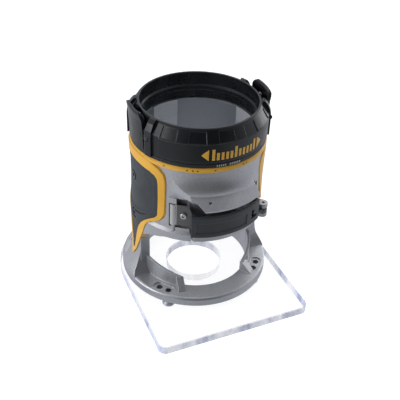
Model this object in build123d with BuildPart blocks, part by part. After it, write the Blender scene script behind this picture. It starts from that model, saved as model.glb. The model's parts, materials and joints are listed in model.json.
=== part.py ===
from build123d import *
import math
import os

# Fixed base of a trim router: an aluminium clamp housing that holds the motor, on a clear D-shaped
# sub-base. Millimetres. +Z is up and is the motor's axis; the origin is on that axis, in the plane of
# the sub-base's underside. The front, with the clamp lever, faces -Y.
# Angles are in degrees round the axis, 0 at the front and growing towards +X, the right side.

# ---- driving dimensions -------------------------------------------------------------------------
bore_radius = 34.6            # motor bore, for a 69 mm motor can
relief_radius = 35.2          # bore relieved between its four clamping lands
chamber_radius = 36.6         # below the bore, between the pillars and in the flange
rib_inner_radius = 36.75      # skirts and ribs stand just outside the chamber
body_radius = 41.2            # outside of the clamp housing
bead_radius = 42.6            # bead along the housing's lower edge, and the pillars below it
neck_radius = 38.2            # spigot that the rings turn on
flange_radius = 49.6

plate_thickness = 6.0
flange_top = 12.0
window_top = 54.0
bead_top = 60.2
pocket_bottom = 62.4
pocket_top = 84.0
shoulder_height = 104.15      # where the body steps in to the neck
neck_top = 112.3
relief_spans = ((20, 80), (112, 180), (212, 272), (302, 350))     # between the bore's four lands

touch_gap = 0.05              # between pieces that lie against each other
pin_gap = 0.05                # radial clearance of a pin in a hole that turns on it
turn_gap = 0.1                # round and between the rings that turn

# clear sub-base
plate_radius = 51.5
plate_front = 72.7
plate_corner_radius = 5.0
bit_hole_radius = 19.0

# screw holes in the flange
hole_circle_radius = 44.0
plate_screw_angles = (44.6, 135.4, -135.4, -44.6)
spare_hole_angles = (53.2, 126.8, -126.8, -53.2)
plate_screw_radius = 2.0
spare_hole_radius, spare_hole_bottom = 2.0, 6.8

# pillars and windows, as (distance from the middle, height) seen from the side
pillar_half_width = 8.6
window_edge = [(pillar_half_width, 36.0), (10.3, 44.6), (18.6, 50.2), (26.2, 53.2), (32.0, window_top)]
skirt_profile = [
    (37.2, 10.0), (49.4, 10.0), (49.4, 12.4), (48.3, 14.8), (46.3, 18.0), (44.5, 22.0),
    (43.4, 26.0), (42.8, 30.0), (42.5, 35.0), (37.2, 35.0),
]
rib_outer_radius = 38.7
rib_start, rib_end = 36.0, 80.0
rib_top, rib_rise = 19.5, 25.8          # at the rib's free end and against the pillar
gusset_profile = [(-1.0, 9.7), (8.0, 9.7), (8.0, 12.4), (4.7, 15.7), (1.2, 19.4), (-1.0, 19.4)]
gusset_half_width = 2.4
gussets = ((-38.0, 33.0), (38.0, 0.0), (142.0, 0.0), (-142.0, 0.0))   # angle, and turn from radial

# latch pocket, strap and lever at the front
pocket_start, pocket_end = -46.6, 41.4
pocket_floor_radius = 38.5
slit_angle, slit_width, slit_skew = -30.5, 1.3, 38.0
relief_slot_top = 86.0
anchor_angle, anchor_offset = -42.6, 41.1
anchor_pin_radius = 1.05
anchor_roll_radius = 2.1
strap_inner_radius, strap_outer_radius = 41.0, 42.0
strap_bottom, strap_top = 65.0, 80.0
strap_screw_angle, strap_screw_height = -33.3, 72.7
hinge_angle, hinge_offset = 45.0, 45.9
hinge_pin_radius = 1.0
ear_radius = 3.0
lower_ear_bottom, lower_ear_top = 57.4, 60.05
eye_bottom, eye_top = 60.2, 62.15
knuckle_bottom, knuckle_top = 62.3, 64.05
upper_ear_bottom, upper_ear_top = 64.2, 66.9
eccentricity = 0.5            # of the lever's barrel, which tightens the strap
barrel_radius = 2.0
lever_swing = 100.0
eye_wall = 0.6
lever_inner_radius, lever_outer_radius = 43.4, 46.5
lever_shell_radius = 45.0
lever_start, lever_end = -26.6, 34.4
lever_bottom, lever_top = 59.6, 75.2

# hood over the lever: a concave sweep out of the body, a ridge and a skirt
hood_start, hood_end = -44.5, 38.0
hood_sweep = [(41.2, 100.2), (41.6, 96.4), (42.7, 93.0), (44.3, 90.7), (45.8, 89.7)]
hood_skirt = [(45.8, 89.7), (46.0, 88.2), (46.5, 79.4), (46.2, 78.3), (45.2, 78.3), (44.6, 86.2)]

# trim and grips, as (distance from the middle, height) seen from the side
trim_shoulders = [
    (0.0, 106.2), (14.6, 105.2), (20.0, 103.6), (23.6, 101.5), (26.0, 98.6), (26.8, 95.0), (26.9, 91.0),
    (26.7, 72.5),
]
trim_tail = [
    (26.7, 72.5), (25.9, 68.0), (23.5, 64.0), (20.0, 61.6), (16.3, 58.6), (12.5, 50.6), (9.3, 42.2),
    (6.3, 35.0), (3.3, 28.0), (0.0, 22.6),
]
right_front_width = 3.0       # how much wider the frame on the right is at its front shoulder
grip_shoulders = [
    (0.0, 99.6), (10.0, 99.0), (18.4, 97.7), (21.4, 96.2), (22.8, 94.0), (23.2, 91.0), (23.2, 69.5),
]
grip_tail = [
    (23.2, 69.5), (21.9, 65.9), (18.2, 62.8), (14.7, 59.8), (10.6, 55.4), (6.9, 49.6), (4.4, 42.6),
    (2.5, 35.0), (0.0, 25.0),
]
trim_path = [
    (47.4, 18.0), (45.3, 22.0), (44.1, 26.0), (43.5, 30.0), (43.3, 36.0), (43.2, 48.0), (43.5, 58.0),
    (43.3, 68.0), (43.0, 80.0), (43.1, 96.0), (43.2, 106.5),
]
bulge_shift = 4.4             # the sides are turned about lines that far out from the motor's axis
grip_inset = 0.45             # of the grips' surface below the frame's
seat_path = [(45.4, 18.0), (43.2, 23.0), (41.6, 28.0), (40.6, 33.0), (39.9, 40.0), (39.9, 106.5)]
trim_ring_radius = 42.5
trim_ring_bottom, trim_ring_top = 104.2, 107.0
grip_screw_heights = (85.0, 56.0)
screw_seat_radius = 41.4
panel_outline = [
    (0.0, 95.6), (9.0, 95.2), (17.0, 94.0), (19.6, 91.6), (20.0, 88.0), (20.0, 71.0), (18.6, 67.8),
]
panel_depth, groove_depth = 0.3, 0.9

# turning rings
scale_ring_bottom, scale_ring_top = 107.15, 109.6
ring_bottom = 109.75
band_radius, band_top = 42.2, 123.2
cone_top_radius, ring_top = 38.0, 130.2
ring_inner_radius = 36.2
label_half_angle = 55.8
facet_pitch, facet_half_angle = 23.85, 6.8
facet_profile = [(41.8, 122.9), (43.6, 121.7), (43.6, 130.0), (40.0, 130.0), (38.1, 128.6)]
retainer_height, retainer_wire = 111.1, 0.55

# release tabs, each in a slot of the ring between two posts
tab_front_angle, tab_rear_angle = 17.5, 13.4      # how far a tab reaches from its side's middle
tab_middle = -1.75            # the tabs sit that far in front of the sides' middle
tab_inner_radius = 41.25
tab_profile = [
    (tab_inner_radius, 109.9), (42.4, 109.9), (42.4, 112.0), (42.7, 120.0), (43.2, 127.6), (43.7, 130.2),
    (43.9, 131.8), (43.4, 132.9), (42.4, 133.0), (41.6, 132.0), (tab_inner_radius, 130.0),
]
tab_corner_radius = 5.0
tab_half_width = 11.25
slot_half_width, slot_depth, slot_bottom = 11.75, 37.2, 112.9
pivot_offset, pivot_height = 38.9, 119.2
tab_pin_radius, tab_pin_half_length = 1.0, 16.5
barrel_half_length, tab_barrel_radius = 10.6, 1.55
boss_radius, boss_half_length = 1.7, 16.7
pawl_tip, pawl_half_width, pawl_bottom, pawl_top = 35.8, 6.8, 114.0, 116.8
front_post, rear_post = (21.5, 28.0), (16.9, 23.4)
post_profile = [
    (41.0, 110.0), (42.35, 110.0), (42.35, 108.4), (43.6, 108.4), (43.6, 121.5), (43.1, 124.5),
    (41.2, 128.6), (39.4, 130.6), (38.0, 131.0), (37.0, 129.0),
]
spring_height = 126.0
spring_coil_radius, spring_wire = 1.8, 0.3

os.makedirs("parts", exist_ok=True)


# ---- helpers ------------------------------------------------------------------------------------
def polar(radius, angle, height=0.0):
    """The point at that radius, angle from the front and height."""
    turn = math.radians(angle)
    return Vector(radius * math.sin(turn), -radius * math.cos(turn), height)


def plan_plane(angle, height):
    """A level plane whose X points outwards at that angle."""
    return Plane(origin=(0, 0, height), x_dir=polar(1, angle), z_dir=(0, 0, 1))


def radial_plane(angle):
    """The upright plane through the axis at that angle: X is the radius and Y is up."""
    return Plane(origin=(0, 0, 0), x_dir=polar(1, angle), z_dir=polar(1, angle - 90))


def outward_plane(angle, radius, height):
    """The plane square to the radius at that angle, facing outwards, with Y up."""
    return Plane(
        origin=polar(radius, angle, height), x_dir=polar(1, angle + 90), z_dir=polar(1, angle)
    )


def sector(inner, outer, bottom, top, start, end, mode=Mode.ADD):
    """A block between two radii, two heights and two angles."""
    with BuildSketch(Plane.XY.offset(bottom)) as outline:
        with BuildLine():
            near = CenterArc((0, 0), inner, start - 90, end - start)
            far = CenterArc((0, 0), outer, start - 90, end - start)
            Line(near @ 0, far @ 0)
            Line(near @ 1, far @ 1)
        make_face()
    extrude(outline.sketch, amount=top - bottom, mode=mode)


def turned(points, start=0.0, size=360.0, mode=Mode.ADD):
    """A profile of (radius, height) points turned about the axis, through size degrees from start."""
    with BuildSketch(radial_plane(start)) as outline:
        with BuildLine():
            Polyline(*points, close=True)
        make_face()
    revolve(outline.sketch, axis=Axis.Z, revolution_arc=size, mode=mode)


def post(angle, offset, radius, bottom, top, mode=Mode.ADD):
    """An upright round bar whose own axis stands at that angle and offset."""
    with BuildSketch(plan_plane(angle, bottom)) as outline:
        with Locations((offset, 0)):
            Circle(radius)
    extrude(outline.sketch, amount=top - bottom, mode=mode)


def block(angle, near, far, half_width, bottom, top, mode=Mode.ADD):
    """A square block along the radius at that angle, between two distances from the axis."""
    with BuildSketch(plan_plane(angle, bottom)) as outline:
        with Locations(((near + far) / 2, 0)):
            Rectangle(far - near, 2 * half_width)
    extrude(outline.sketch, amount=top - bottom, mode=mode)


def spoke(angle, height, radius, start, end, mode=Mode.SUBTRACT):
    """A round bar along the radius at that angle, between two distances from the axis."""
    with BuildSketch(outward_plane(angle, start, height)) as outline:
        Circle(radius)
    extrude(outline.sketch, amount=end - start, mode=mode)


def crossbar(side, offset, height, radius, half_length, mode=Mode.ADD):
    """A level round bar along Y at a tab's middle, on the left or right side."""
    middle = Plane(origin=(side * offset, tab_middle, height), x_dir=(1, 0, 0), z_dir=(0, 1, 0))
    with BuildSketch(middle) as outline:
        Circle(radius)
    extrude(outline.sketch, amount=half_length, both=True, mode=mode)


def tab_block(side, near, far, half_width, bottom, top, mode=Mode.ADD):
    """A square block across a tab's middle, on the left or right side."""
    with BuildSketch(Plane.XY.offset(bottom)) as outline:
        with Locations((side * (near + far) / 2, tab_middle)):
            Rectangle(far - near, 2 * half_width)
    extrude(outline.sketch, amount=top - bottom, mode=mode)


def tab_span(side, front, rear):
    """The start and end angles of a span from that far in front to that far behind a side's middle."""
    return (90 - front, 90 + rear) if side > 0 else (-90 - rear, -90 + front)


def side_face(shoulders, tail, grow=0.0, front=0.0, tip_radius=1.2):
    """A face in the YZ plane from its half's points, mirrored, and wider at the front's shoulder."""
    def grown(points, end):
        return [(end * (y + grow if y else 0) - (front if end * y < -20 and z > 80 else 0),
                 z + (grow if z > 80 else -2 * grow * (not y))) for y, z in points]

    with BuildSketch(Plane.YZ) as outline:
        with BuildLine():
            for end in (-1, 1):
                Polyline(*grown(shoulders, end))
                Spline(*grown(tail, end))
        make_face()
        fillet(outline.vertices().sort_by(Axis.Y)[0], tip_radius)
    return outline.sketch


def from_both_sides(face, mode):
    """Carry a face in the YZ plane right across the part."""
    extrude(face, amount=70, both=True, mode=mode)


def wrapped(offset):
    """A thick shell round the body from the seats' surface, grown by the offset."""
    turned([(radius + offset, height) for radius, height in reversed(seat_path)]
           + [(60, seat_path[0][1]), (60, seat_path[-1][1])])


def side_bulge(offset):
    """A body that swells to the trim's path at each side, grown by the offset, and less in front."""
    with BuildPart() as swelling:
        turned([(0, trim_path[0][1])]
               + [(radius - bulge_shift + offset, height) for radius, height in trim_path]
               + [(0, trim_path[-1][1])])
    with BuildPart() as body:
        for side in (-1, 1):
            with Locations((side * bulge_shift, 0, 0)):
                add(swelling.part)
    return body.part


def frame_outline(grow):
    """The frames' outline carried out to the left and to the right, where the frame is wider."""
    with BuildPart() as outline:
        for side, front in ((-1, 0), (1, right_front_width)):
            extrude(side_face(trim_shoulders, trim_tail, grow, front), amount=side * 70)
    return outline.part


grip_face = side_face(grip_shoulders, grip_tail)
grip_seat_face = side_face(grip_shoulders, grip_tail, grow=0.1)

# ---- sub-base -----------------------------------------------------------------------------------
with BuildPart() as sub_base:
    with BuildSketch() as plate_outline:
        Circle(plate_radius)
        with Locations((0, -plate_front / 2)):
            Rectangle(2 * plate_radius, plate_front)
        front_corners = plate_outline.vertices().group_by(Axis.Y)[0]
        fillet(front_corners, plate_corner_radius)
        Circle(bit_hole_radius, mode=Mode.SUBTRACT)
    extrude(amount=plate_thickness)
    chamfer(sub_base.edges().group_by(Axis.Z)[-1], 0.5)
    outer_rim = sub_base.edges().group_by(Axis.Z)[0].filter_by(
        lambda edge: edge.geom_type != GeomType.CIRCLE or edge.radius != bit_hole_radius)
    chamfer(outer_rim, 0.4)
    for angle in plate_screw_angles:
        post(angle, hole_circle_radius, plate_screw_radius + 0.2, 0, plate_thickness, Mode.SUBTRACT)
        with Locations(Location(polar(hole_circle_radius, angle, 1.6))):
            Cone(4.2, 2.2, 2.0, align=(Align.CENTER, Align.CENTER, Align.CENTER), mode=Mode.SUBTRACT)
        post(angle, hole_circle_radius, 4.2, 0, 0.65, Mode.SUBTRACT)
sub_base.part.label = "sub_base"
export_step(sub_base.part, "parts/sub_base.step")

# ---- base casting -------------------------------------------------------------------------------
with BuildPart() as flange:
    with BuildSketch(Plane.XY.offset(plate_thickness + touch_gap)):
        Circle(flange_radius)
    extrude(amount=flange_top - plate_thickness - touch_gap)
    fillet(flange.edges().group_by(Axis.Z)[-1], 1.6)
    with BuildSketch(Plane.XY.offset(plate_thickness)):
        Circle(chamber_radius)
    extrude(amount=10, mode=Mode.SUBTRACT)
    for screw_angle, spare_angle in zip(plate_screw_angles, spare_hole_angles):
        first, last = sorted((screw_angle, spare_angle))
        with BuildSketch(Plane.XY.offset(flange_top - 0.8)) as recess:
            SlotArc(CenterArc((0, 0), hole_circle_radius, first - 91, last - first + 2), 6.6)
        extrude(recess.sketch, amount=2, mode=Mode.SUBTRACT)

with BuildPart() as skirts:
    for start in (60, 240):
        turned(skirt_profile, start, 60)
    with BuildSketch(Plane.YZ) as splay:
        with BuildLine():
            Line((-8.5, 35), (8.5, 35))
            Spline((8.5, 35), (8.9, 19), (14.6, 9.8), tangents=((0, -1), (1, -0.8)))
            Line((14.6, 9.8), (-14.6, 9.8))
            Spline((-8.5, 35), (-8.9, 19), (-14.6, 9.8), tangents=((0, -1), (-1, -0.8)))
        make_face()
    from_both_sides(splay.sketch, Mode.INTERSECT)

with BuildPart() as ribs:
    for mid in (0, 180):
        for start in (mid + rib_start, mid - rib_end):
            sector(rib_inner_radius, rib_outer_radius, 10.3, rib_rise, start, start + rib_end - rib_start)
    with BuildSketch(Plane.XZ) as slope:
        with BuildLine():
            Polyline((-40, 10), (-40, rib_rise), (-21, rib_top), (21, rib_top), (40, rib_rise), (40, 10),
                     close=True)
        make_face()
    extrude(slope.sketch, amount=60, both=True, mode=Mode.INTERSECT)
    for angle, turn in gussets:
        with BuildSketch(Plane(origin=polar(rib_inner_radius, angle), x_dir=polar(1, angle + turn),
                               z_dir=polar(1, angle + turn - 90))) as gusset:
            with BuildLine():
                Polyline(*gusset_profile, close=True)
            make_face()
        extrude(gusset.sketch, amount=gusset_half_width, both=True)
    with BuildSketch(Plane.XY.offset(9)) as chamber:
        Circle(rib_inner_radius + 0.05)
    extrude(chamber.sketch, amount=20, mode=Mode.SUBTRACT)

with BuildPart() as hood:
    with BuildSketch(radial_plane(hood_start)) as hood_section:
        with BuildLine():
            Spline(*hood_sweep)
            Polyline(*hood_skirt, (40.0, 86.2), (40.0, 100.2), hood_sweep[0])
        make_face()
    revolve(hood_section.sketch, axis=Axis.Z, revolution_arc=hood_end - hood_start)
    with BuildSketch(Plane.XZ) as slants:
        with BuildLine():
            Polyline((-12.6, 78), (-17.6, 85.2), (-21.0, 86.2), (-26.5, 88.0), (-32, 88.0), (-32, 78),
                     close=True)
        make_face()
        with BuildLine():
            Polyline((19.4, 91.6), (26.4, 78), (40, 78), (40, 101), (23.0, 101), close=True)
        make_face()
    extrude(slants.sketch, amount=60, mode=Mode.SUBTRACT)
    with BuildSketch(Plane.XY.offset(78)) as fade:
        with BuildLine():
            Polyline(*[polar(radius, angle) for radius, angle in
                       ((41.1, -46.5), (46.6, -26.0), (60, -26), (60, -52))], close=True)
        make_face()
    extrude(fade.sketch, amount=30, mode=Mode.SUBTRACT)

with BuildPart() as side_seats:
    wrapped(-touch_gap)
    add(frame_outline(0.1), mode=Mode.INTERSECT)

with BuildPart() as base_casting:
    turned([
        (chamber_radius, flange_top - 1), (bead_radius, flange_top - 1), (bead_radius, 58.6),
        (body_radius, bead_top), (body_radius, shoulder_height), (neck_radius, shoulder_height),
        (neck_radius, 111.9), (37.8, neck_top), (bore_radius, neck_top), (bore_radius, window_top - 0.2),
        (chamber_radius, window_top - 1.6),
    ])
    for end in (-1, 1):
        with BuildSketch(Plane.YZ) as window:
            with BuildLine():
                Line((end * pillar_half_width, flange_top - 1), (end * pillar_half_width, 36.0))
                Spline(*[(end * y, z) for y, z in window_edge], tangents=((0, 1), (end, 0)))
                Polyline((end * 32, window_top), (end * 60, window_top), (end * 60, flange_top - 1),
                         (end * pillar_half_width, flange_top - 1))
            make_face()
        from_both_sides(window.sketch, Mode.SUBTRACT)
    sector(pocket_floor_radius, 50, pocket_bottom, pocket_top, pocket_start, -18, Mode.SUBTRACT)
    sector(pocket_floor_radius, 50, lower_ear_top, pocket_top, -20, pocket_end, Mode.SUBTRACT)
    sector(39.6, 50, lower_ear_top, knuckle_top + 0.1, 40, 51, Mode.SUBTRACT)
    add(flange.part)
    add(skirts.part)
    add(ribs.part)
    add(hood.part)
    add(side_seats.part, mode=Mode.SUBTRACT)
    sector(37.5, 42.5, 80.6, pocket_top + 0.2, pocket_start - 0.2, -39.4)
    spoke(strap_screw_angle, strap_screw_height, 2.6, 37.5, strap_inner_radius - touch_gap, Mode.ADD)
    for bottom, top in ((lower_ear_bottom, lower_ear_top), (upper_ear_bottom, upper_ear_top)):
        post(hinge_angle, hinge_offset, ear_radius, bottom, top)
        block(hinge_angle, 38.5, hinge_offset, ear_radius, bottom, top)
    for start, end in relief_spans:
        sector(30, relief_radius, window_top + 2, neck_top + 1, start, end, Mode.SUBTRACT)
    with BuildSketch(plan_plane(slit_angle, window_top - 2)) as slit:
        with Locations((38.0, 0)):
            Rectangle(14, slit_width, rotation=slit_skew)
    extrude(slit.sketch, amount=relief_slot_top - window_top + 2, mode=Mode.SUBTRACT)
    sector(33, 43.5, pocket_top, relief_slot_top, -31.8, 37, Mode.SUBTRACT)
    turned([(neck_radius - 0.6, retainer_height - 0.6), (45, retainer_height - 0.6),
            (45, retainer_height + 0.6), (neck_radius - 0.6, retainer_height + 0.6)], mode=Mode.SUBTRACT)
    for angle in plate_screw_angles:
        post(angle, hole_circle_radius, plate_screw_radius, 5, 13, Mode.SUBTRACT)
    for angle in spare_hole_angles:
        post(angle, hole_circle_radius, spare_hole_radius, spare_hole_bottom, 13, Mode.SUBTRACT)
    for side in (-90, 90):
        for height in grip_screw_heights:
            spoke(side, height, 1.5, 35.8, 45)
    spoke(strap_screw_angle, strap_screw_height, 1.2, 35.8, 45)
    spoke(-13.1, 85.6, 1.1, 43.0, 50)
    post(anchor_angle, anchor_offset, anchor_pin_radius, 58, 83.2, Mode.SUBTRACT)
    post(hinge_angle, hinge_offset, hinge_pin_radius, 58.2, 70, Mode.SUBTRACT)
base_casting.part.label = "base_casting"
export_step(base_casting.part, "parts/base_casting.step")

# ---- screws under the sub-base ------------------------------------------------------------------
with BuildPart() as sub_base_screws:
    for angle in plate_screw_angles:
        post(angle, hole_circle_radius, plate_screw_radius, 1.2, 10.6)
        with Locations(Location(polar(hole_circle_radius, angle, 1.55))):
            Cone(4.05, plate_screw_radius, 2.0, align=(Align.CENTER, Align.CENTER, Align.CENTER))
        with BuildSketch(plan_plane(angle, 0.5)) as drive:
            with Locations((hole_circle_radius, 0)):
                RegularPolygon(1.3, 6)
        extrude(drive.sketch, amount=1.6, mode=Mode.SUBTRACT)
sub_base_screws.part.label = "sub_base_screws"
export_step(sub_base_screws.part, "parts/sub_base_screws.step")

# ---- yellow trim: a ring over the shoulder and a frame round each grip ---------------------------
with BuildPart() as trim_frame:
    wrapped(0)
    add(side_bulge(0), mode=Mode.INTERSECT)
    add(frame_outline(0), mode=Mode.INTERSECT)
    from_both_sides(grip_seat_face, Mode.SUBTRACT)
    turned([(neck_radius + 0.15, trim_ring_bottom), (trim_ring_radius, trim_ring_bottom),
            (trim_ring_radius, trim_ring_top - 0.9), (trim_ring_radius - 0.9, trim_ring_top),
            (neck_radius + 0.15, trim_ring_top)])
    turned([(trim_ring_radius - 0.9, trim_ring_top), (50, trim_ring_top), (50, trim_ring_top - 1.2),
            (trim_ring_radius + 0.25, trim_ring_top - 1.2)], mode=Mode.SUBTRACT)
trim_frame.part.label = "trim_frame"
export_step(trim_frame.part, "parts/trim_frame.step")

# ---- rubber grips -------------------------------------------------------------------------------
with BuildPart() as grip_pair:
    wrapped(0)
    add(side_bulge(-grip_inset), mode=Mode.INTERSECT)
    from_both_sides(grip_face, Mode.INTERSECT)

with BuildSketch(Plane.YZ) as panel:
    with BuildLine():
        for end in (-1, 1):
            Polyline(*[(end * y, z) for y, z in panel_outline])
        ThreePointArc((-18.6, 67.8), (0, 62.6), (18.6, 67.8))
    make_face()
with BuildSketch(Plane.YZ) as groove:
    with BuildLine():
        ThreePointArc((-14.6, 64.2), (0, 59.9), (14.6, 64.2))
    trace(line_width=1.2)

insets = []
for outline, depth in ((panel, panel_depth), (groove, groove_depth)):
    with BuildPart() as inset:
        from_both_sides(outline.sketch, Mode.ADD)
        add(side_bulge(-grip_inset - depth), mode=Mode.SUBTRACT)
    insets.append(inset.part)

with BuildPart() as finished_grips:
    add(grip_pair.part)
    for inset_part in insets:
        add(inset_part, mode=Mode.SUBTRACT)
    for side in (-90, 90):
        for height in grip_screw_heights:
            spoke(side, height, 3.5, screw_seat_radius, 50)
            spoke(side, height, 1.7, 30, 50)

for side, name in ((-1, "left_grip"), (1, "right_grip")):
    with BuildPart() as grip:
        add(finished_grips.part)
        with Locations((side * 50, 0, 60)):
            Box(100, 120, 120, mode=Mode.INTERSECT)
    grip.part.label = name
    export_step(grip.part, "parts/" + name + ".step")

# ---- grip screws --------------------------------------------------------------------------------
with BuildPart() as grip_screws:
    for side in (-90, 90):
        for height in grip_screw_heights:
            spoke(side, height, 1.5, 36.0, 42.0, Mode.ADD)
            spoke(side, height, 2.9, screw_seat_radius + touch_gap, screw_seat_radius + 1.1, Mode.ADD)
            spoke(side, height, 1.2, screw_seat_radius + 0.4, 50)
grip_screws.part.label = "grip_screws"
export_step(grip_screws.part, "parts/grip_screws.step")

# ---- clamp strap, its anchor pin and its screw --------------------------------------------------
eye_shift = eccentricity * math.cos(math.radians(lever_swing / 2))
eye_radius = barrel_radius + eccentricity * math.sin(math.radians(lever_swing / 2)) + pin_gap
eye_inward = eye_shift * math.sin(math.radians(lever_swing / 2))
eye_along = eye_shift * math.cos(math.radians(lever_swing / 2))

with BuildPart() as clamp_strap:
    sector(strap_inner_radius, strap_outer_radius, 58, strap_top, anchor_angle, hinge_angle - 1)
    with BuildSketch(Plane.XZ) as strap_outline:
        with BuildLine():
            Polyline((-30, strap_bottom), (-30, strap_top), (-20.6, strap_top), (-17.0, 70.6), (-4, 69.2),
                     (18, 64.6), (29, eye_top), (40, eye_top), (40, eye_bottom), (26, eye_bottom),
                     (10, 61.6), (-14, strap_bottom), close=True)
        make_face()
    extrude(strap_outline.sketch, amount=60, mode=Mode.INTERSECT)
    with BuildSketch(plan_plane(hinge_angle, eye_bottom)) as eye:
        with Locations((hinge_offset - eye_inward, eye_along)):
            Circle(eye_radius + eye_wall)
    extrude(eye.sketch, amount=eye_top - eye_bottom)
    sector(strap_inner_radius, strap_outer_radius + 1.6, eye_bottom, eye_top, hinge_angle - 4,
           hinge_angle + 1)
    with BuildSketch(plan_plane(hinge_angle, eye_bottom)) as eye_hole:
        with Locations((hinge_offset - eye_inward, eye_along)):
            Circle(eye_radius)
    extrude(eye_hole.sketch, amount=eye_top - eye_bottom, mode=Mode.SUBTRACT)
    post(anchor_angle, anchor_offset, anchor_roll_radius, strap_bottom, strap_top)
    post(anchor_angle, anchor_offset, anchor_pin_radius + pin_gap, strap_bottom, strap_top,
         Mode.SUBTRACT)
    spoke(strap_screw_angle, strap_screw_height, 1.3, 38, 46)
clamp_strap.part.label = "clamp_strap"
export_step(clamp_strap.part, "parts/clamp_strap.step")

with BuildPart() as anchor_pin:
    post(anchor_angle, anchor_offset, anchor_pin_radius, 58.2, 82.8)
    chamfer(anchor_pin.edges(), 0.2)
anchor_pin.part.label = "anchor_pin"
export_step(anchor_pin.part, "parts/anchor_pin.step")

with BuildPart() as strap_screw:
    spoke(strap_screw_angle, strap_screw_height, 1.2, 36.0, strap_outer_radius + 0.5, Mode.ADD)
    spoke(strap_screw_angle, strap_screw_height, 2.1, strap_outer_radius + touch_gap, 43.2, Mode.ADD)
    fillet(strap_screw.faces().sort_by(Axis.Y)[0].edges(), 0.6)
    with BuildSketch(outward_plane(strap_screw_angle, 42.5, strap_screw_height)) as drive:
        RegularPolygon(0.9, 6)
    extrude(drive.sketch, amount=2, mode=Mode.SUBTRACT)
strap_screw.part.label = "strap_screw"
export_step(strap_screw.part, "parts/strap_screw.step")

# ---- clamp lever and the pin it turns on ---------------------------------------------------------
with BuildPart() as clamp_lever:
    sector(lever_inner_radius, lever_outer_radius, lever_bottom, lever_top, lever_start, lever_end)
    fillet(clamp_lever.faces().filter_by(Plane.XY).edges().filter_by(GeomType.CIRCLE)
           .filter_by(lambda edge: edge.radius > lever_shell_radius), 1.0)
    sector(lever_outer_radius - 0.45, 50, 62.6, 70.4, -22.6, 19.4, Mode.SUBTRACT)
    sector(lever_shell_radius - 1, 50, 64.0, 70.6, 24.2, 27.4, Mode.SUBTRACT)
    sector(lever_shell_radius - 1, 50, 64.0, 66.2, 27.2, 31.0, Mode.SUBTRACT)
    sector(lever_inner_radius - 1, lever_shell_radius, lever_bottom + 1.4, lever_top + 1, -24.6, 31.6,
           Mode.SUBTRACT)
    sector(lever_inner_radius, lever_outer_radius, knuckle_bottom, knuckle_top, lever_end - 4,
           hinge_angle - 1)
    post(hinge_angle, hinge_offset, ear_radius - 0.2, knuckle_bottom, knuckle_top)
    with BuildSketch(plan_plane(hinge_angle, eye_bottom)) as barrel:
        with Locations((hinge_offset, eccentricity)):
            Circle(barrel_radius)
    extrude(barrel.sketch, amount=knuckle_bottom - eye_bottom)
    post(hinge_angle, hinge_offset, hinge_pin_radius + pin_gap, 60, 74, Mode.SUBTRACT)
clamp_lever.part.label = "clamp_lever"
export_step(clamp_lever.part, "parts/clamp_lever.step")

with BuildPart() as lever_pin:
    post(hinge_angle, hinge_offset, hinge_pin_radius, 58.4, 66.2)
    chamfer(lever_pin.edges(), 0.2)
lever_pin.part.label = "lever_pin"
export_step(lever_pin.part, "parts/lever_pin.step")

# ---- turning rings ------------------------------------------------------------------------------
with BuildPart() as scale_ring:
    turned([(neck_radius + 0.15, scale_ring_bottom), (41.9, scale_ring_bottom),
            (42.1, scale_ring_bottom + 0.2), (42.1, scale_ring_top), (neck_radius + 0.15, scale_ring_top)])
scale_ring.part.label = "scale_ring"
export_step(scale_ring.part, "parts/scale_ring.step")

with BuildPart() as pivot_bosses:
    for side in (-1, 1):
        crossbar(side, pivot_offset, pivot_height, boss_radius, boss_half_length)
        tab_block(side, 30, 50, boss_half_length - 3.4, 110, 130, Mode.SUBTRACT)

with BuildPart() as adjustment_ring:
    turned([
        (neck_radius + turn_gap, ring_bottom), (41.9, ring_bottom), (band_radius, ring_bottom + 0.3),
        (band_radius, band_top), (cone_top_radius, ring_top - 0.8), (37.2, ring_top),
        (ring_inner_radius - 0.2, ring_top), (ring_inner_radius, ring_top - 0.5),
        (ring_inner_radius, 121.8), (35.2, 120.8), (35.2, 118.6), (ring_inner_radius, 117.6),
        (ring_inner_radius, 112.6), (39.1, 112.6), (39.1, retainer_height - 0.7),
        (neck_radius + turn_gap, retainer_height - 0.7),
    ])
    for mid in (0, 180):
        sector(band_radius - 0.5, band_radius + 0.35, 111.0, band_top - 0.6,
               mid - label_half_angle, mid + label_half_angle)
        for step in range(-2, 3):
            turned(facet_profile, mid + step * facet_pitch - facet_half_angle, 2 * facet_half_angle,
                   mode=Mode.SUBTRACT)
    for side in (-1, 1):
        for reach in ((front_post[1], -front_post[0]), (-rear_post[0], rear_post[1])):
            start, end = tab_span(side, *reach)
            turned(post_profile, start, end - start)
    add(pivot_bosses.part)
    for side in (-1, 1):
        tab_block(side, slot_depth, 60, slot_half_width, slot_bottom, 140, Mode.SUBTRACT)
        sector(tab_inner_radius - 0.15, 60, 100, slot_bottom + 1,
               *tab_span(side, tab_front_angle + 1.1, tab_rear_angle + 1.1), Mode.SUBTRACT)
        tab_block(side, 30, 60, pawl_half_width + 0.8, slot_bottom, pawl_top + 1.1, Mode.SUBTRACT)
        crossbar(side, pivot_offset, pivot_height, tab_pin_radius, boss_half_length, Mode.SUBTRACT)
    with BuildSketch(Plane.XY) as bore:
        Circle(35.2)
    extrude(bore.sketch, amount=140, mode=Mode.SUBTRACT)
adjustment_ring.part.label = "adjustment_ring"
export_step(adjustment_ring.part, "parts/adjustment_ring.step")

with BuildPart() as ring_retainer:
    with BuildSketch(radial_plane(8)) as wire:
        with Locations((neck_radius + 0.1, retainer_height)):
            Circle(retainer_wire)
    revolve(wire.sketch, axis=Axis.Z, revolution_arc=344)
ring_retainer.part.label = "ring_retainer"
export_step(ring_retainer.part, "parts/ring_retainer.step")

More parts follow.
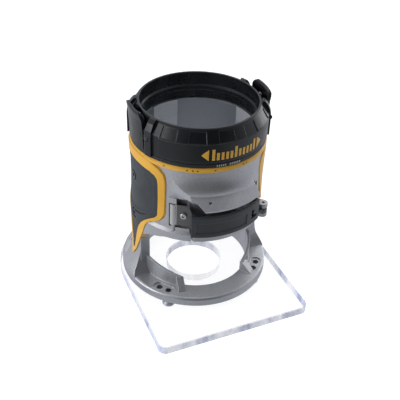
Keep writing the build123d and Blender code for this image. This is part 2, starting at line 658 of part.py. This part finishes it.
# ---- release tabs, with their pins and springs ----------------------------------------------------
for side, name in ((-1, "left"), (1, "right")):
    with BuildPart() as tab:
        first, last = tab_span(side, tab_front_angle + 3, tab_rear_angle + 3)
        turned(tab_profile, first, last - first)
        with BuildSketch(Plane.YZ) as tab_outline:
            with Locations((tab_middle, 116)):
                RectangleRounded(2 * tab_half_width, 34.6, tab_corner_radius)
        from_both_sides(tab_outline.sketch, Mode.INTERSECT)
        crossbar(side, pivot_offset, pivot_height, tab_barrel_radius, barrel_half_length)
        tab_block(side, pivot_offset, tab_inner_radius + 0.3, 9.0, 117.9, 120.4)
        tab_block(side, pawl_tip, tab_inner_radius + 0.4, pawl_half_width, pawl_bottom, pawl_top)
        crossbar(side, pivot_offset, pivot_height, tab_pin_radius + pin_gap, 20, Mode.SUBTRACT)
    tab.part.label = name + "_release_tab"
    export_step(tab.part, "parts/" + name + "_release_tab.step")

    with BuildPart() as spring:
        with BuildLine():
            coil = Helix(pitch=0.9, height=tab_inner_radius - slot_depth - 0.7, radius=spring_coil_radius,
                         direction=(side, 0, 0),
                         center=(side * (slot_depth + 0.35), tab_middle, spring_height))
        with BuildSketch(Plane(origin=coil @ 0, z_dir=coil % 0)):
            Circle(spring_wire)
        sweep(path=coil, is_frenet=True)
    spring.part.label = name + "_tab_spring"
    export_step(spring.part, "parts/" + name + "_tab_spring.step")

with BuildPart() as tab_pins:
    for side in (-1, 1):
        crossbar(side, pivot_offset, pivot_height, tab_pin_radius, tab_pin_half_length)
tab_pins.part.label = "tab_pins"
export_step(tab_pins.part, "parts/tab_pins.step")
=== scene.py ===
import json
import math

import bmesh
import bpy
from mathutils import Matrix, Vector


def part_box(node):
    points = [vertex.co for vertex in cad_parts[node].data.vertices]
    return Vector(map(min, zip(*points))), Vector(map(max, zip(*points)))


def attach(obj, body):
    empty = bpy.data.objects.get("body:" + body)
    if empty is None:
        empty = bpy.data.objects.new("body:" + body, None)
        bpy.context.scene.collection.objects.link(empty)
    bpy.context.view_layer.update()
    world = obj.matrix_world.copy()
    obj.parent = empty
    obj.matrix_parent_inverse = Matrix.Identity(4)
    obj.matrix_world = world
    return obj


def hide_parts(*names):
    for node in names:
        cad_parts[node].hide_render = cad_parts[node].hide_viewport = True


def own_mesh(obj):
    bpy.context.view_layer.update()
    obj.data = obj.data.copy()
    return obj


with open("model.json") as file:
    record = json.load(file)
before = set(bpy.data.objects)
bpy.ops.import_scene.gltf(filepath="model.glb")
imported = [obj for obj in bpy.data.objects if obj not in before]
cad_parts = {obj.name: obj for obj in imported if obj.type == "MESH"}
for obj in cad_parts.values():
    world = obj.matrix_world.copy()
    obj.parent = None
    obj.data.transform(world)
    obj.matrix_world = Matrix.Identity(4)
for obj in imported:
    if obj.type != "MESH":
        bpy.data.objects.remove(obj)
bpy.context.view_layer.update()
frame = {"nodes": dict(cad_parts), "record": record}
scene = bpy.context.scene


def towards(azimuth, elevation):
    """The unit vector at an azimuth from the front, towards the right, and an elevation, in degrees."""
    a, e = math.radians(azimuth), math.radians(elevation)
    return Vector((math.sin(a) * math.cos(e), -math.cos(a) * math.cos(e), math.sin(e)))


# ---- camera, at the reference's viewing angle -----------------------------------------------------
CAMERA_TARGET = Vector((0.0, 0.0, 0.050))
CAMERA_DISTANCE = 0.440
CAMERA_AZIMUTH, CAMERA_ELEVATION, CAMERA_ROLL = -24.0, 36.33, 2.15   # degrees
CAMERA_SENSOR, CAMERA_LENS = 36.0, 59.17                             # millimetres
CAMERA_SHIFT = (0.0115, 0.0146)                                      # shares of the frame's width
CAMERA_CLIP = (0.01, 20.0)


def make_camera():
    data = bpy.data.cameras.new("Camera")
    data.sensor_width, data.lens = CAMERA_SENSOR, CAMERA_LENS
    data.shift_x, data.shift_y = CAMERA_SHIFT
    data.clip_start, data.clip_end = CAMERA_CLIP
    camera = bpy.data.objects.new("Camera", data)
    scene.collection.objects.link(camera)
    back = towards(CAMERA_AZIMUTH, CAMERA_ELEVATION)
    a, roll = math.radians(CAMERA_AZIMUTH), math.radians(CAMERA_ROLL)
    level = Vector((math.cos(a), math.sin(a), 0.0))
    right = math.cos(roll) * level + math.sin(roll) * back.cross(level)
    up = back.cross(right)
    place = CAMERA_TARGET + back * CAMERA_DISTANCE
    camera.matrix_world = Matrix((
        [right.x, up.x, back.x, place.x],
        [right.y, up.y, back.y, place.y],
        [right.z, up.z, back.z, place.z],
        [0.0, 0.0, 0.0, 1.0],
    ))
    scene.camera = camera


make_camera()


# ---- light and floor ------------------------------------------------------------------------------
LIGHT_TARGET = Vector((0.0, 0.0, 0.06))
LIGHT_DISTANCE = 1.0


def area_light(name, azimuth, elevation, size, power):
    data = bpy.data.lights.new(name, "AREA")
    data.shape = "DISK"
    data.size = size
    data.energy = power
    light = bpy.data.objects.new(name, data)
    scene.collection.objects.link(light)
    back = towards(azimuth, elevation)
    light.location = LIGHT_TARGET + back * LIGHT_DISTANCE
    light.rotation_mode = "QUATERNION"
    light.rotation_quaternion = back.to_track_quat("Z", "Y")


# name, azimuth and elevation in degrees, diameter in metres, power in watts
SOFTBOXES = (
    ("LeftBox", -90, 14, 0.7, 4.1),
    ("RightBox", 106, 8, 0.7, 2.4),
    ("BackBox", 152, 55, 0.7, 1.6),
)
# the room is bright all round but for a dark opening in front, above the table
ROOM_BRIGHT, ROOM_DARK = 0.66, 0.10
ROOM_FRONT = Vector((-0.134, -0.957, 0.259))
ROOM_FADE = (0.42, 0.86)                     # cosines from ROOM_FRONT between which it darkens
ROOM_TINT = (0.955, 0.99, 1.045, 1.0)
FLOOR_REACH, FLOOR_DROP = 3.0, 0.0002        # half its width, and how far it lies under the plate
FLOOR_COLOUR, FLOOR_ROUGHNESS = (0.30, 0.30, 0.30, 1.0), 0.8
FLOOR_GLOW = 0.93                            # a lit table: white all over


def make_stage():
    world = bpy.data.worlds.new("Studio")
    world.use_nodes = True
    nodes, links = world.node_tree.nodes, world.node_tree.links
    direction = nodes.new("ShaderNodeTexCoord")
    towards_front = nodes.new("ShaderNodeVectorMath")
    towards_front.operation = "DOT_PRODUCT"
    towards_front.inputs[1].default_value = ROOM_FRONT
    level = nodes.new("ShaderNodeMapRange")
    level.interpolation_type = "SMOOTHSTEP"
    level.inputs["From Min"].default_value, level.inputs["From Max"].default_value = ROOM_FADE
    level.inputs["To Min"].default_value, level.inputs["To Max"].default_value = ROOM_BRIGHT, ROOM_DARK
    links.new(direction.outputs["Generated"], towards_front.inputs[0])
    links.new(towards_front.outputs["Value"], level.inputs["Value"])
    links.new(level.outputs["Result"], nodes["Background"].inputs["Strength"])
    nodes["Background"].inputs["Color"].default_value = ROOM_TINT
    scene.world = world
    scene.view_settings.view_transform = "Standard"
    for softbox in SOFTBOXES:
        area_light(*softbox)

    floor = bpy.data.meshes.new("Floor")
    corners = ((-1, -1), (1, -1), (1, 1), (-1, 1))
    floor.from_pydata([(x * FLOOR_REACH, y * FLOOR_REACH, 0) for x, y in corners], [], [(0, 1, 2, 3)])
    floor_object = bpy.data.objects.new("Floor", floor)
    floor_object.location.z = -FLOOR_DROP
    floor_object.visible_diffuse = floor_object.visible_glossy = False
    scene.collection.objects.link(floor_object)
    material = bpy.data.materials.new("Floor")
    material.use_nodes = True
    shader = material.node_tree.nodes["Principled BSDF"]
    shader.inputs["Base Color"].default_value = FLOOR_COLOUR
    shader.inputs["Roughness"].default_value = FLOOR_ROUGHNESS
    shader.inputs["Emission Color"].default_value = (1.0, 1.0, 1.0, 1.0)
    shader.inputs["Emission Strength"].default_value = FLOOR_GLOW
    floor.materials.append(material)


make_stage()


# ---- materials ------------------------------------------------------------------------------------
MIX_A, MIX_B, MIX_RESULT = 6, 7, 2           # a Mix node's colour sockets
BEVEL_SAMPLES = 6
TURNED_STEP = 0.0001                         # metres over which a colour changes at a machined edge


class Nodes:
    """A Principled material with small helpers for the nodes that drive it."""

    def __init__(self, name):
        self.material = bpy.data.materials.new(name)
        self.material.use_nodes = True
        self.tree = self.material.node_tree
        self.shader = self.tree.nodes["Principled BSDF"]
        self.coords = self.add("ShaderNodeTexCoord").outputs["Object"]

    def add(self, kind, **values):
        node = self.tree.nodes.new(kind)
        for key, value in values.items():
            setattr(node, key, value)
        return node

    def link(self, source, target):
        self.tree.links.new(source, target)

    def stretch(self, scale, shift=(0.0, 0.0, 0.0)):
        mapping = self.add("ShaderNodeMapping")
        mapping.inputs["Scale"].default_value = scale
        mapping.inputs["Location"].default_value = shift
        self.link(self.coords, mapping.inputs["Vector"])
        return mapping.outputs["Vector"]

    def noise(self, scale, detail=3.0, roughness=0.55, vector=None):
        node = self.add("ShaderNodeTexNoise")
        node.inputs["Scale"].default_value = scale
        node.inputs["Detail"].default_value = detail
        node.inputs["Roughness"].default_value = roughness
        self.link(vector or self.coords, node.inputs["Vector"])
        return node.outputs["Fac"]

    def ramp(self, value, stops):
        node = self.add("ShaderNodeValToRGB")
        while len(node.color_ramp.elements) < len(stops):
            node.color_ramp.elements.new(0.5)
        for element, (position, colour) in zip(node.color_ramp.elements, stops):
            element.position = position
            element.color = (*colour, 1.0)
        self.link(value, node.inputs["Fac"])
        return node.outputs["Color"]

    def spread(self, value, low, high, start=0.3, stop=0.7):
        node = self.add("ShaderNodeMapRange")
        node.inputs["From Min"].default_value = start
        node.inputs["From Max"].default_value = stop
        node.inputs["To Min"].default_value = low
        node.inputs["To Max"].default_value = high
        self.link(value, node.inputs["Value"])
        return node.outputs["Result"]

    def mix(self, factor, first, second, blend="MIX"):
        node = self.add("ShaderNodeMix", data_type="RGBA", blend_type=blend)
        for socket, value in ((node.inputs["Factor"], factor), (node.inputs[MIX_A], first),
                              (node.inputs[MIX_B], second)):
            if hasattr(value, "links"):
                self.link(value, socket)
            elif isinstance(value, (int, float)):
                socket.default_value = value
            else:
                socket.default_value = (*value, 1.0)
        return node.outputs[MIX_RESULT]

    def bump(self, height, distance, strength=1.0, under=None):
        node = self.add("ShaderNodeBump")
        node.inputs["Distance"].default_value = distance
        node.inputs["Strength"].default_value = strength
        self.link(height, node.inputs["Height"])
        if under is not None:
            self.link(under, node.inputs["Normal"])
        return node.outputs["Normal"]

    def parts(self, vector):
        """A vector's three parts, by the names X, Y and Z."""
        node = self.add("ShaderNodeSeparateXYZ")
        self.link(vector, node.inputs["Vector"])
        return node.outputs

    def times(self, first, second):
        node = self.add("ShaderNodeMath", operation="MULTIPLY")
        self.link(first, node.inputs[0])
        self.link(second, node.inputs[1])
        return node.outputs["Value"]

    def axis_distance(self, shift=(0.0, 0.0, 0.0)):
        """How far a point is from the motor's axis, or from an upright axis that shift moves there."""
        flat = self.add("ShaderNodeVectorMath", operation="LENGTH")
        self.link(self.stretch((1.0, 1.0, 0.0), shift), flat.inputs[0])
        return flat.outputs["Value"]

    def height(self):
        return self.parts(self.coords)["Z"]

    def within(self, distance, radius, fade=TURNED_STEP):
        """1 where a distance is under a radius, and 0 past its fade."""
        return self.spread(distance, 1.0, 0.0, radius, radius + fade)

    def rounded(self, radius):
        node = self.add("ShaderNodeBevel", samples=BEVEL_SAMPLES)
        node.inputs["Radius"].default_value = radius
        return node.outputs["Normal"]

    def edge_highlight(self, radius):
        """0 on flat faces and towards 1 on sharp edges, from the geometry itself; it masks the painted
        highlight along edges.
        """
        bevel = self.rounded(radius)
        geometry = self.add("ShaderNodeNewGeometry")
        dot = self.add("ShaderNodeVectorMath", operation="DOT_PRODUCT")
        self.link(bevel, dot.inputs[0])
        self.link(geometry.outputs["Normal"], dot.inputs[1])
        return self.spread(dot.outputs["Value"], 1.0, 0.0, 0.75, 0.99)


def moulded(name, dark, light, roughness, grain_scale, grain_height, edge=0.0003, edge_highlight_colour=None,
            sheen=0.0, specular=0.5):
    """Injection-moulded plastic or rubber: a fine grain, slightly mottled, with softened edges, and,
    where an edge colour is given, a lighter painted highlight along them.
    """
    m = Nodes(name)
    mottle = m.noise(55.0, 4.0)
    colour = m.ramp(mottle, [(0.32, dark), (0.68, light)])
    if edge_highlight_colour:
        # paint the edges lighter: a painted highlight
        colour = m.mix(m.edge_highlight(edge * 1.4), colour, edge_highlight_colour)
    m.link(colour, m.shader.inputs["Base Color"])
    m.link(m.spread(m.noise(180.0, 2.0), roughness - 0.05, roughness + 0.06),
           m.shader.inputs["Roughness"])
    grain = m.noise(grain_scale, 2.0, 0.6)
    m.link(m.bump(grain, grain_height, 0.6, m.rounded(edge)), m.shader.inputs["Normal"])
    m.shader.inputs["Sheen Weight"].default_value = sheen
    m.shader.inputs["Specular IOR Level"].default_value = specular
    return m.material


def cast_metal():
    """Die-cast aluminium: satin, faintly mottled, with a painted highlight on its edges, its bore relief
    painted darker as painted shade, and a machined bore painted much lighter as painted light inside it.
    """
    m = Nodes("CastAluminium")
    colour = m.ramp(m.noise(28.0, 5.0, 0.6), [
        (0.30, (0.470, 0.475, 0.495)), (0.52, (0.520, 0.525, 0.545)), (0.74, (0.560, 0.565, 0.585))])
    speckle = m.ramp(m.noise(900.0, 2.0), [(0.35, (0.88, 0.88, 0.88)), (0.65, (1.0, 1.0, 1.0))])
    colour = m.mix(1.0, colour, speckle, "MULTIPLY")
    # a lighter colour along sharp edges: a painted highlight
    colour = m.mix(m.edge_highlight(0.0004), colour, (0.70, 0.70, 0.71))
    radius = m.axis_distance()
    above = m.spread(m.height(), 0.0, 1.0, WINDOW_TOP, WINDOW_TOP + 2 * TURNED_STEP)
    relief = m.times(m.within(radius, RELIEF_RADIUS + 2 * TURNED_STEP), above)
    land = m.times(m.within(radius, BORE_RADIUS + TURNED_STEP), above)
    # the relief is painted darker: painted shade in the recess
    colour = m.mix(relief, colour, (0.42, 0.435, 0.46))
    # the machined land: real turning lines, painted far lighter than the casting as painted light inside
    # the bore
    turning_lines_painted_light = m.ramp(m.noise(260.0, 3.0, 0.6, m.stretch((0.4, 0.4, 6.0))),
                     [(0.3, (0.74, 0.755, 0.78)), (0.7, (0.86, 0.875, 0.90))])
    colour = m.mix(land, colour, turning_lines_painted_light)
    m.link(colour, m.shader.inputs["Base Color"])
    m.link(m.spread(m.noise(70.0, 4.0), 0.36, 0.50), m.shader.inputs["Roughness"])
    m.link(m.spread(land, 0.80, 0.35, 0.0, 1.0), m.shader.inputs["Metallic"])
    fine = m.bump(m.noise(1400.0, 3.0, 0.65), 0.00006, 0.5, m.rounded(0.0005))
    m.link(m.bump(m.noise(160.0, 3.0), 0.00008, 0.3, fine), m.shader.inputs["Normal"])
    return m.material


HOLE_MARGIN, FRONT_FADE = 0.001, 0.012       # metres


def clear_plastic():
    """Polycarbonate: the faces nearly vanish, and the cut edges are painted in streaks from white to
    dark blue-violet: painted reflections, more opaque where darker.
    """
    m = Nodes("ClearPolycarbonate")
    normal = m.add("ShaderNodeNewGeometry").outputs["Normal"]
    tilt = m.add("ShaderNodeMath", operation="ABSOLUTE")
    m.link(m.parts(normal)["Z"], tilt.inputs[0])
    edge = m.spread(tilt.outputs["Value"], 1.0, 0.0, 0.55, 0.95)
    reflection_streaks = m.noise(75.0, 4.0, 0.7, m.stretch((1.0, 1.0, 0.3)))
    # painted reflections on the cut edges, white to dark blue-violet
    edge_painted_reflection = m.ramp(reflection_streaks, [(0.34, (0.22, 0.27, 0.62)), (0.44, (0.50, 0.57, 0.90)),
                            (0.56, (0.72, 0.78, 1.0)), (0.68, (1.0, 1.0, 1.0))])
    m.link(m.mix(edge, (0.97, 0.98, 1.0), edge_painted_reflection), m.shader.inputs["Base Color"])
    scuffs = m.noise(300.0, 4.0, 0.7, m.stretch((1.0, 14.0, 1.0)))
    m.link(m.spread(scuffs, 0.04, 0.14, 0.62, 0.80), m.shader.inputs["Roughness"])
    strength = m.times(edge, m.spread(reflection_streaks, 0.80, 0.42, 0.38, 0.66))
    # the bit hole's wall is fainter towards the front
    hole = m.within(m.axis_distance(), BIT_HOLE_RADIUS + HOLE_MARGIN, 2 * HOLE_MARGIN)
    front = m.spread(m.parts(m.coords)["Y"], 1.0, 0.0, -FRONT_FADE, FRONT_FADE)
    strength = m.times(strength, m.spread(m.times(hole, front), 1.0, 0.25, 0.0, 1.0))
    m.link(m.spread(strength, 0.04, 1.0, 0.0, 1.0), m.shader.inputs["Alpha"])
    m.shader.inputs["IOR"].default_value = 1.2
    m.link(m.bump(scuffs, 0.00001, 0.2), m.shader.inputs["Normal"])
    return m.material


STEEL_EDGE, ROLL_FADE, DARK_FADE = 0.0002, 0.0003, 0.0005       # metres
DARK_ENDS = (0.035, 0.036, 0.040)


def steel(name, dark, light, roughness, brush=(1.0, 1.0, 30.0), roll_highlight=None, dark_above=None):
    """Plain steel with the fine lines that rolling or grinding leaves. The first optional argument is
    the (x, y) of an upright axis, the radius about it, and the lighter colour painted inside that radius
    as a painted highlight.
    The second is the height above which the steel is dark."""
    m = Nodes(name)
    lines = m.noise(700.0, 3.0, 0.6, m.stretch(brush))
    colour = m.ramp(lines, [(0.3, dark), (0.7, light)])
    # a lighter colour within a radius of an upright axis: a painted highlight
    if roll_highlight:
        (x, y), radius, bright = roll_highlight
        colour = m.mix(m.within(m.axis_distance((-x, -y, 0.0)), radius, ROLL_FADE), colour, bright)
    # the steel is darker above a height
    if dark_above:
        above = m.spread(m.height(), 0.0, 1.0, dark_above, dark_above + DARK_FADE)
        colour = m.mix(above, colour, DARK_ENDS)
    m.link(colour, m.shader.inputs["Base Color"])
    m.link(m.spread(m.noise(90.0, 3.0), roughness - 0.07, roughness + 0.08),
           m.shader.inputs["Roughness"])
    m.shader.inputs["Metallic"].default_value = 0.9
    m.link(m.bump(lines, 0.00003, 0.4, m.rounded(STEEL_EDGE)), m.shader.inputs["Normal"])
    return m.material


# the casting's bore and the plate's hole, which the record's mounts give
MM = 0.001
MOUNTS = {mount["name"]: mount for mount in frame["record"]["mounts"]}
BIT_HOLE_RADIUS = MOUNTS["bit_hole"]["dims"]["r_mm"] * MM
BORE = MOUNTS["motor_bore"]
BORE_RADIUS = BORE["dims"]["r_mm"] * MM
RELIEF_RADIUS = BORE_RADIUS + 0.0006
WINDOW_TOP = BORE["pos_m"][2] - BORE["dims"]["length_mm"] * MM / 2

# the strap is rolled round the anchor pin, and its roll is painted lighter as a highlight
PIN_LOW, PIN_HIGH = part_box("anchor_pin")
ANCHOR = tuple((PIN_LOW[k] + PIN_HIGH[k]) / 2 for k in (0, 1))
ROLL_RADIUS = 0.0023
SCREW_TOP = 0.0065           # above it, the plate's screws show only as dark ends in the flange's holes

MATERIALS = {
    "casting": cast_metal(),
    "clear_plate": clear_plastic(),
    # the last colour given to the trim, grip, ring and lever plastics is a painted highlight along their
    # edges
    "yellow_trim": moulded("YellowTrim", (0.90, 0.460, 0.033), (0.98, 0.53, 0.055), 0.36, 500.0, 0.00003,
                           0.0004, (1.0, 0.66, 0.17)),
    "grip_rubber": moulded("GripRubber", (0.026, 0.031, 0.037), (0.036, 0.043, 0.050), 0.60, 1100.0,
                           0.00007, 0.0005, (0.07, 0.08, 0.09), sheen=0.1),
    "black_plastic": moulded("BlackNylon", (0.0035, 0.0045, 0.0060), (0.0070, 0.0085, 0.0110), 0.30,
                             650.0, 0.00003, 0.0005, (0.060, 0.068, 0.080), specular=0.42),
    "scale_plastic": moulded("ScalePlastic", (0.008, 0.009, 0.010), (0.012, 0.013, 0.015), 0.45, 650.0,
                             0.00002),
    "lever_plastic": moulded("LeverNylon", (0.027, 0.032, 0.037), (0.040, 0.046, 0.052), 0.42, 650.0,
                             0.00004, 0.0006, (0.10, 0.11, 0.12)),
    "steel": steel("GroundSteel", (0.42, 0.42, 0.41), (0.58, 0.58, 0.57), 0.30),
    "spring_steel": steel("SpringWire", (0.30, 0.30, 0.30), (0.42, 0.42, 0.42), 0.32),
    # the strap's roll is painted lighter: a painted highlight
    "strap_steel": steel("StrapSteel", (0.11, 0.108, 0.105), (0.19, 0.187, 0.182), 0.36, (1, 1, 22),
                         roll_highlight=(ANCHOR, ROLL_RADIUS, (0.62, 0.61, 0.60))),
    "screws": steel("ZincScrews", (0.42, 0.43, 0.46), (0.56, 0.57, 0.60), 0.35, (1, 1, 1),
                    dark_above=SCREW_TOP),
}
# the screws that sit in the grips are black all over
NODE_MATERIALS = {
    "grip_screws": steel("BlackedScrews", (0.030, 0.030, 0.032), (0.060, 0.060, 0.064), 0.35, (1, 1, 1)),
}

slot_of = {row["node"]: row["material_slot"] for row in frame["record"]["subparts"]}
for node, shape in frame["nodes"].items():
    shape.data.materials.clear()
    shape.data.materials.append(NODE_MATERIALS.get(node) or MATERIALS[slot_of[node]])


# ---- printed marks: graduations only, no lettering -------------------------------------------------
RING_WALL, SCALE_WALL, TRIM_WALL = 0.04255, 0.0421, 0.0425      # radii of the walls they are printed on
MARK_DEPTH, MARK_STEP = 0.00010, 1.2                            # metres each side of the wall; degrees

# the depth ring's: an arrow at each end, and bars between them
MIDDLE, HALF_HEIGHT, HALF_TIP, SHORT_TOP = 0.1161, 0.0036, 0.0003, 0.0012
LEFT_ARROW, RIGHT_ARROW = (-20.6, -15.2), (28.8, 34.2)
BAR_COUNT, BAR_START, BAR_PITCH, BAR_WIDTH, TALL_EVERY = 11, -12.6, 3.7, 2.2, 5
# the yellow ring's ticks
TICK_ANGLES = (-51, -32, -27.6, -23.8, -10, 14.8, 18)
TICK_WIDTH, TICK_LOW, TICK_HIGH = 1.1, 0.1052, 0.1060
# the scale ring's two groups of fine bars: where each starts, and how many it has
FINE_GROUPS = ((-8.4, 5), (2.4, 6))
FINE_PITCH, FINE_WIDTH, FINE_LOW, FINE_HIGH = 1.7, 0.8, 0.1078, 0.1091


def printed(name, radius, marks, body, slot):
    """Marks that follow a round wall. Each is (start angle, end angle, (low, high) at its start,
    (low, high) at its end), in degrees and metres."""
    mesh = bmesh.new()
    for start, end, first, last in marks:
        columns = []
        count = max(1, math.ceil((end - start) / MARK_STEP))
        for i in range(count + 1):
            t = i / count
            a = math.radians(start + (end - start) * t)
            low, high = (first[k] + (last[k] - first[k]) * t for k in (0, 1))
            inner, outer = radius - MARK_DEPTH, radius + MARK_DEPTH
            columns.append([mesh.verts.new((reach * math.sin(a), -reach * math.cos(a), z))
                            for reach, z in ((inner, low), (outer, low), (outer, high), (inner, high))])
        for near, far in zip(columns, columns[1:]):
            for k in range(4):
                mesh.faces.new((near[k], near[(k + 1) % 4], far[(k + 1) % 4], far[k]))
        mesh.faces.new(columns[0])
        mesh.faces.new(columns[-1][::-1])
    bmesh.ops.recalc_face_normals(mesh, faces=mesh.faces)
    data = bpy.data.meshes.new(name)
    mesh.to_mesh(data)
    mesh.free()
    piece = bpy.data.objects.new(name, data)
    scene.collection.objects.link(piece)
    data.materials.append(MATERIALS[slot])
    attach(piece, body)


def bar(start, width, low, high):
    return (start, start + width, (low, high), (low, high))


def depth_graduations():
    """A scale between two arrows that say which way the ring turns."""
    point = (MIDDLE - HALF_TIP, MIDDLE + HALF_TIP)
    base = (MIDDLE - HALF_HEIGHT, MIDDLE + HALF_HEIGHT)
    marks = [(*LEFT_ARROW, point, base), (*RIGHT_ARROW, base, point)]
    for step in range(BAR_COUNT):
        top = HALF_HEIGHT if step % TALL_EVERY == 0 else SHORT_TOP
        marks.append(bar(BAR_START + BAR_PITCH * step, BAR_WIDTH, MIDDLE - HALF_HEIGHT, MIDDLE + top))
    return marks


trim_ticks = [bar(angle, TICK_WIDTH, TICK_LOW, TICK_HIGH) for angle in TICK_ANGLES]
scale_marks = [bar(start + FINE_PITCH * i, FINE_WIDTH, FINE_LOW, FINE_HIGH)
               for start, count in FINE_GROUPS for i in range(count)]
printed("ring_graduations", RING_WALL, depth_graduations(), "ring", "yellow_trim")
printed("trim_ticks", TRIM_WALL, trim_ticks, "base", "black_plastic")
printed("scale_marks", SCALE_WALL, scale_marks, "scale", "steel")


for side in ("left", "right"):
    node = side + "_tab_spring"
    coil = bpy.data.objects.new(side + "_spring_coil", frame["nodes"][node].data.copy())
    scene.collection.objects.link(coil)
    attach(coil, "ring")
    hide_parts(node)
    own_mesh(coil)
